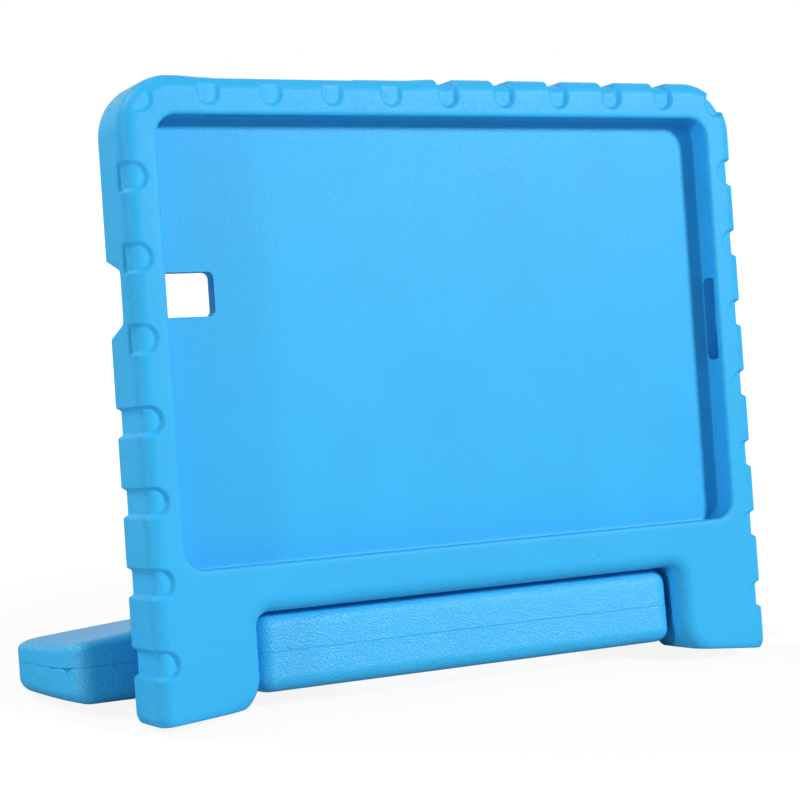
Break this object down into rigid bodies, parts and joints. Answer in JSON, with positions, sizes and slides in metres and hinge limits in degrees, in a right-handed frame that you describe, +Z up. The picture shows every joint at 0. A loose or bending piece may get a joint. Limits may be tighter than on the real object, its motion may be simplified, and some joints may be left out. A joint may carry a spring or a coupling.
{
  "type": "kids tablet case",
  "caption": "Thick foam case for a tablet, with shallow channels over its edges, feet, and a wide slotted handle that turns behind it as a stand.",
  "frame": {"origin": "centre of the bounding box's bottom, on the surface the case stands on", "axes": "+X to the right seen from the front, +Y to the back, +Z up; the case leans back 8.9 degrees"},
  "size_m": [0.3216, 0.0954, 0.2362],
  "materials": {
    "blue_foam": "matte, fine skin",
    "handle_foam": "matte, fine pebbled skin",
    "pin_plastic": "matte"
  },
  "bodies": {
    "case": {"case_shell": "blue_foam", "pivot_pin_left": "pin_plastic", "pivot_pin_right": "pin_plastic"},
    "handle": {"handle": "handle_foam"}
  },
  "joints": [
    {"name": "handle_hinge", "type": "hinge", "parent": "case", "child": "handle", "pos_m": [0, -0.03008, 0.02333], "axis": [1, 0, 0], "range_deg": [-178.1, 1.9]}
  ]
}
